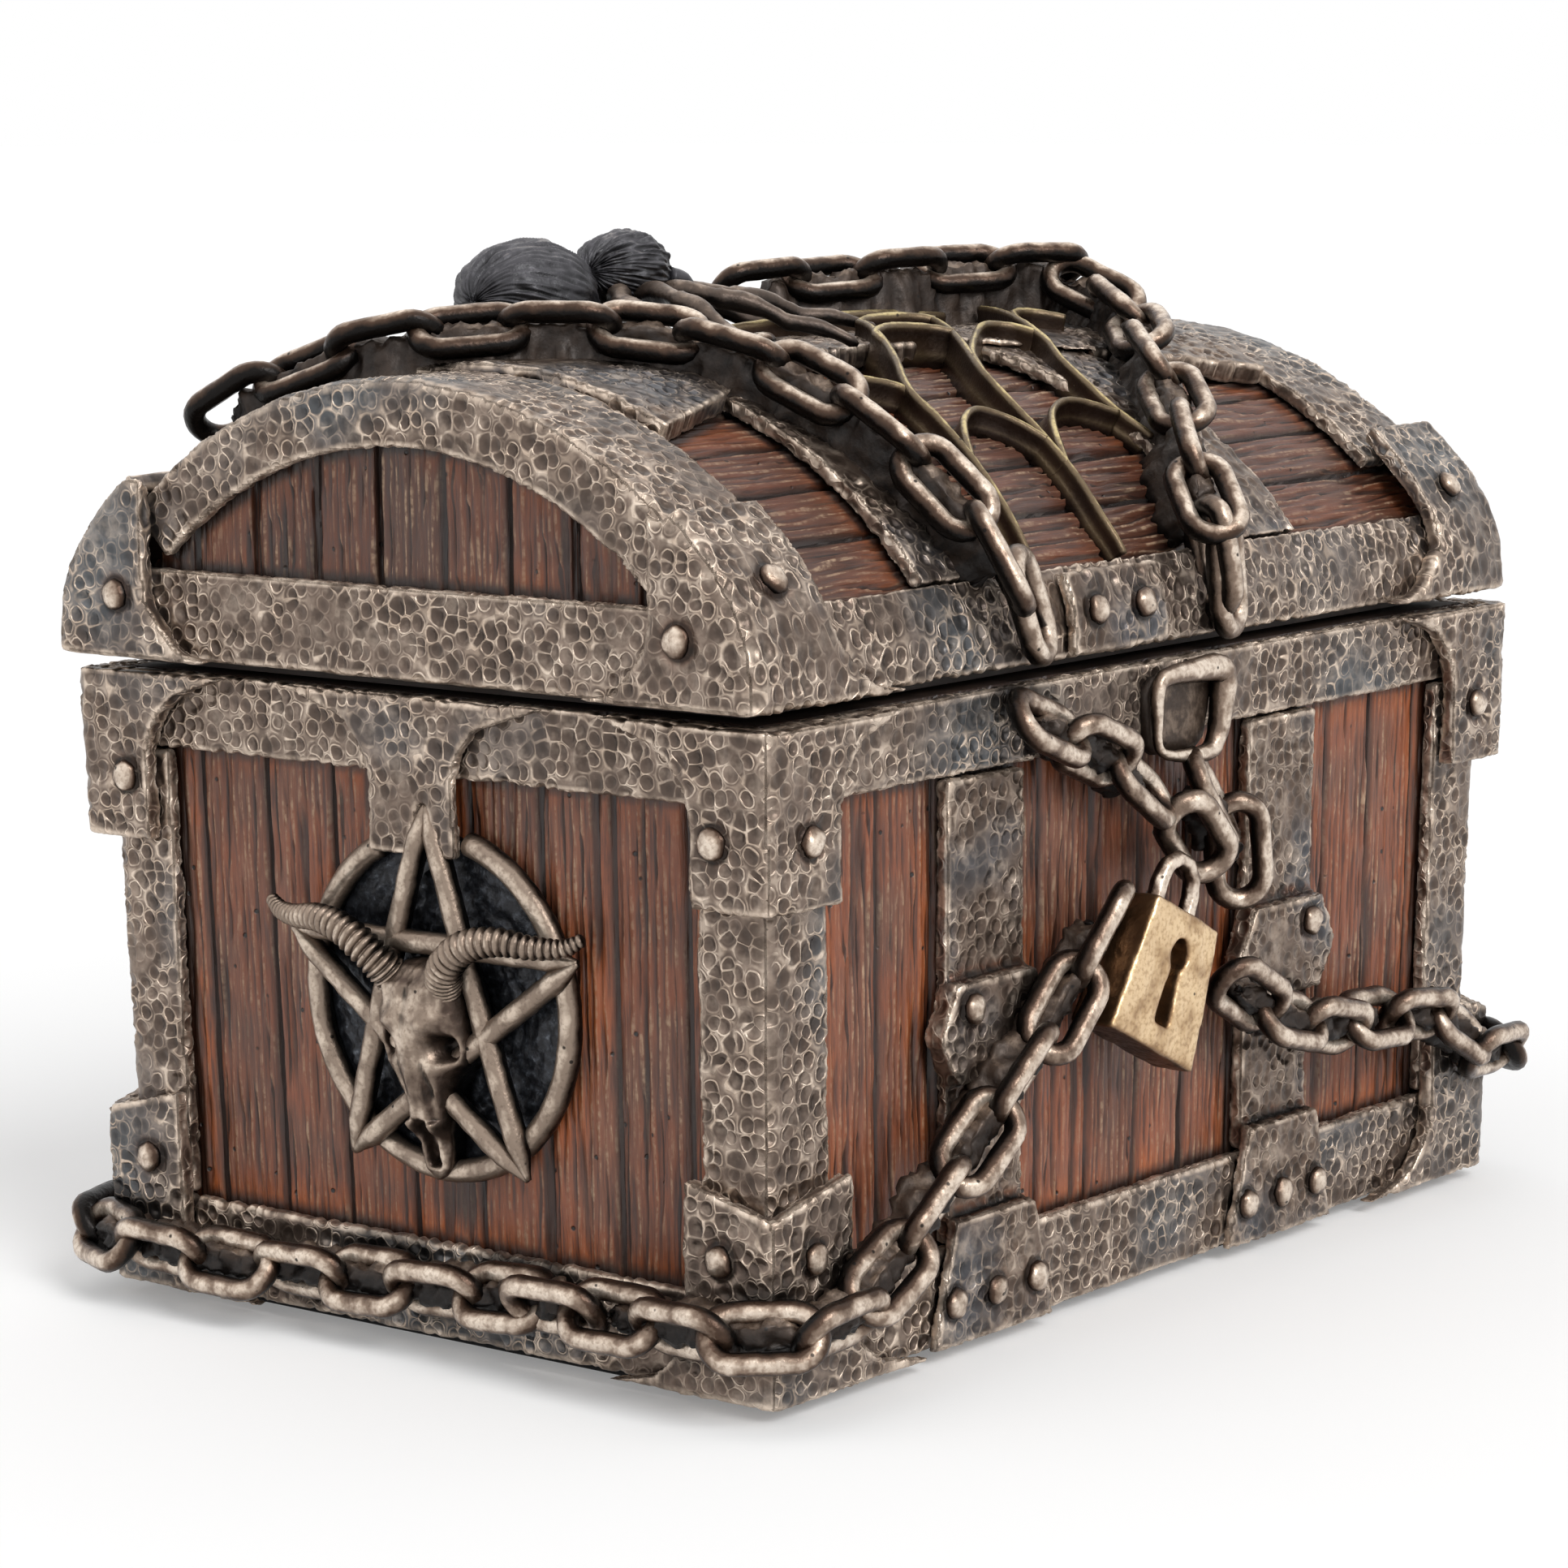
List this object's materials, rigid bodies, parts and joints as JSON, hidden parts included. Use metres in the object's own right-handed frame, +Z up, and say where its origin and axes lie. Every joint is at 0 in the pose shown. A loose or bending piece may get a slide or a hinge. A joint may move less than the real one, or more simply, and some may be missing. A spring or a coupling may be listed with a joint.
{
  "type": "decorative chest",
  "caption": "Small decorative chest with a lift-off barrel lid, planked sides, hammered metal bands and corner brackets, chains, a padlock, goat skull medallions, a spider and a web.",
  "frame": {"origin": "centre of the underside of the felt pad", "axes": "+X to the right along the front, +Z up, the front with the padlock faces -Y"},
  "size_m": [0.1378, 0.0982, 0.1032],
  "materials": {
    "painted_wood": "red brown paint worn to grey and orange, matt",
    "hammered_iron": "dark hammered dimples with pale rubbed ridges, satin",
    "rubbed_bronze": "pale bronze rubbed over dark recesses, satin",
    "aged_brass": "pitted aged brass, satin",
    "charcoal_paint": "charcoal paint, satin",
    "dull_gilt": "dull gilt paint",
    "dark_felt": "dark felt pad"
  },
  "bodies": {
    "case": {"base_felt": "dark_felt", "case_foot_band": "hammered_iron", "case_rim_band": "hammered_iron", "case_shell": "painted_wood", "chain_back": "rubbed_bronze", "chain_hang_left": "rubbed_bronze", "chain_hang_right": "rubbed_bronze", "chain_left_end": "rubbed_bronze", "chain_low_left": "rubbed_bronze", "chain_low_right": "rubbed_bronze", "chain_right_end": "rubbed_bronze", "corner_post_back_left": "hammered_iron", "corner_post_back_right": "hammered_iron", "corner_post_front_left": "hammered_iron", "corner_post_front_right": "hammered_iron", "end_tab_left": "hammered_iron", "end_tab_right": "hammered_iron", "foot_bracket_back_left": "hammered_iron", "foot_bracket_back_right": "hammered_iron", "foot_bracket_front_left": "hammered_iron", "foot_bracket_front_right": "hammered_iron", "goat_skull_left": "rubbed_bronze", "goat_skull_right": "rubbed_bronze", "hasp_staple": "rubbed_bronze", "medallion_disc_left": "hammered_iron", "medallion_disc_right": "hammered_iron", "medallion_ring_left": "rubbed_bronze", "medallion_ring_right": "rubbed_bronze", "medallion_star_left": "rubbed_bronze", "medallion_star_right": "rubbed_bronze", "padlock_body": "aged_brass", "padlock_shackle": "aged_brass", "strap_back_left": "hammered_iron", "strap_back_right": "hammered_iron", "strap_front_left": "hammered_iron", "strap_front_right": "hammered_iron", "top_bracket_back_left": "hammered_iron", "top_bracket_back_right": "hammered_iron", "top_bracket_front_left": "hammered_iron", "top_bracket_front_right": "hammered_iron"},
    "lid": {"lid_arch_band_left": "hammered_iron", "lid_arch_band_right": "hammered_iron", "lid_bracket_back_left": "hammered_iron", "lid_bracket_back_right": "hammered_iron", "lid_bracket_front_left": "hammered_iron", "lid_bracket_front_right": "hammered_iron", "lid_chain_left": "rubbed_bronze", "lid_chain_right": "rubbed_bronze", "lid_end_panel_left": "painted_wood", "lid_end_panel_right": "painted_wood", "lid_hasp_plate": "hammered_iron", "lid_ridge_strap": "hammered_iron", "lid_rim_band": "hammered_iron", "lid_shell": "painted_wood", "lid_strap_left": "hammered_iron", "lid_strap_right": "hammered_iron", "spider_abdomen": "charcoal_paint", "spider_head": "charcoal_paint", "web_threads": "dull_gilt"}
  },
  "joints": [
    {"name": "lid_lift", "type": "slide", "parent": "case", "child": "lid", "axis": [0, 0, 1], "range_m": [0, 0.06]}
  ]
}
